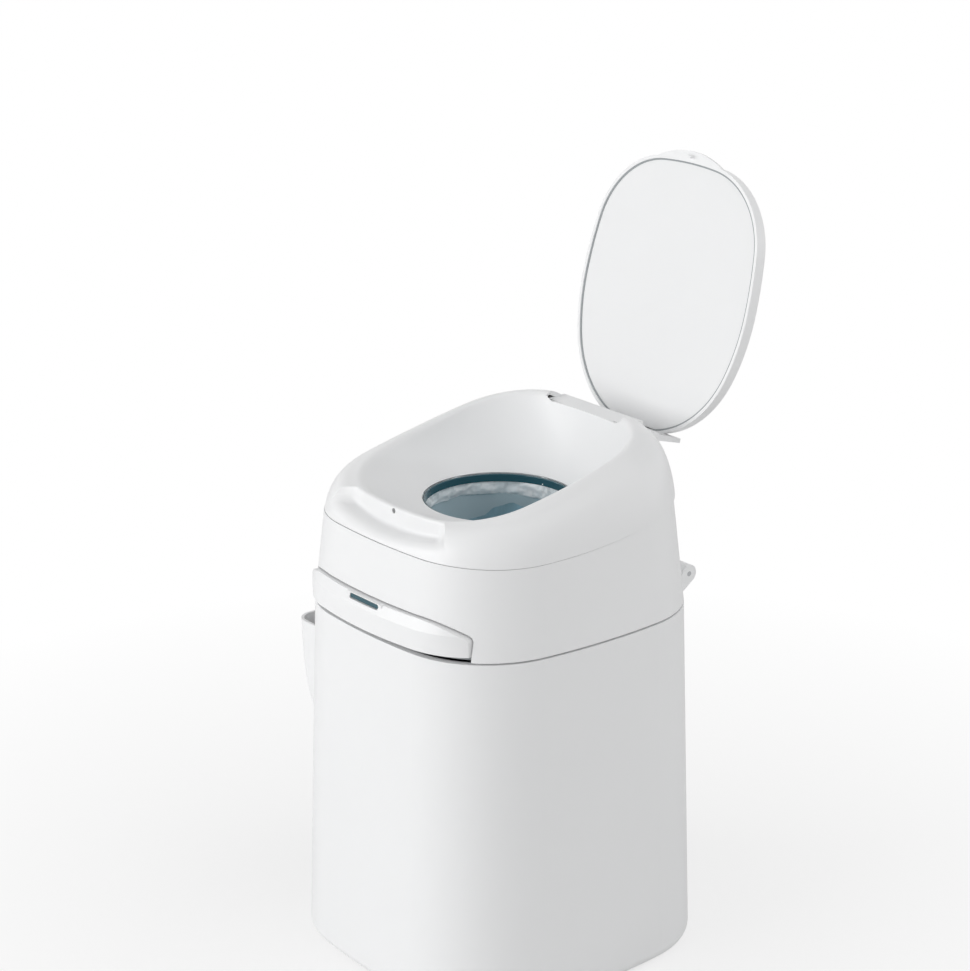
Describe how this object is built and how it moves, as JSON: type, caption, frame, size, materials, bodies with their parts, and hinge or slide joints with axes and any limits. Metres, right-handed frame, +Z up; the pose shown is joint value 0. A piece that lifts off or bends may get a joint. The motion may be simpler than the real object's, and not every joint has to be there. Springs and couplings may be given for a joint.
{
  "type": "litter disposal pail",
  "caption": "Free-standing pet litter disposal pail: tall bin, hinged head with a pull gate and a film cassette, dished hopper cover with an open lid, and a scoop holder on its side.",
  "frame": {"origin": "middle of the flat underside of the pail, on the floor", "axes": "+Z up, -Y towards the front with the pull handle, +X to the right seen from the front"},
  "size_m": [0.273, 0.3286, 0.5798],
  "materials": {
    "white_plastic": "moulded satin-gloss white",
    "teal_plastic": "dark teal moulding",
    "cassette_plastic": "pale blue-grey moulding",
    "film": "thin translucent blue film",
    "steel": "plain steel",
    "rubber": "soft grey elastomer"
  },
  "bodies": {
    "pail": {"pail_shell": "white_plastic", "pail_hinge_ears": "white_plastic", "head_hinge_pins": "steel", "cutter_housing": "white_plastic", "cutter_blade": "steel", "collection_bag": "film"},
    "head": {"head_housing": "white_plastic", "head_hinge_knuckles": "white_plastic", "cover_hinge_lugs": "white_plastic", "gate_base": "white_plastic", "base_screws": "steel", "head_gasket": "rubber", "guide_rail_left": "white_plastic", "guide_rail_right": "white_plastic", "cassette_deck": "white_plastic", "deck_screws": "steel", "fixed_jaw": "white_plastic", "fixed_jaw_pad": "rubber", "return_spring_left": "steel", "return_spring_right": "steel", "cassette_body": "cassette_plastic", "cassette_ring": "teal_plastic", "film_pack": "film", "film_sleeve": "film", "cover_hinge_pins": "steel"},
    "gate": {"drawer_plate": "teal_plastic", "drawer_jaw_pad": "rubber", "drawer_front": "white_plastic", "drawer_screws": "steel", "button_spring": "steel"},
    "button": {"release_button": "teal_plastic"},
    "cover": {"top_cover": "white_plastic", "lid_hinge_pin": "steel"},
    "lid": {"lid_shell": "white_plastic", "lid_liner": "white_plastic", "lid_gasket": "rubber"},
    "holder": {"scoop_holder": "white_plastic"}
  },
  "joints": [
    {"name": "head_hinge", "type": "hinge", "parent": "pail", "child": "head", "pos_m": [0, 0.1305, 0.276], "axis": [-1, 0, 0], "range_deg": [0, 80]},
    {"name": "gate_slide", "type": "slide", "parent": "head", "child": "gate", "axis": [0, -1, 0], "range_m": [0, 0.104], "stiffness_N_per_m": 60, "springref_m": -0.03, "deforming": ["return_spring_left", "return_spring_right"]},
    {"name": "button_press", "type": "slide", "parent": "gate", "child": "button", "axis": [0, 1, 0], "range_m": [0, 0.004], "stiffness_N_per_m": 250, "springref_m": -0.003, "deforming": ["button_spring"]},
    {"name": "cover_hinge", "type": "hinge", "parent": "head", "child": "cover", "pos_m": [0, 0.1174, 0.3576], "axis": [-1, 0, 0], "range_deg": [0, 70]},
    {"name": "lid_hinge", "type": "hinge", "parent": "cover", "child": "lid", "pos_m": [0, 0.107, 0.383], "axis": [1, 0, 0], "range_deg": [0, 118]},
    {"name": "holder_lift", "type": "slide", "parent": "pail", "child": "holder", "axis": [0, 0, 1], "range_m": [0, 0.038]}
  ]
}
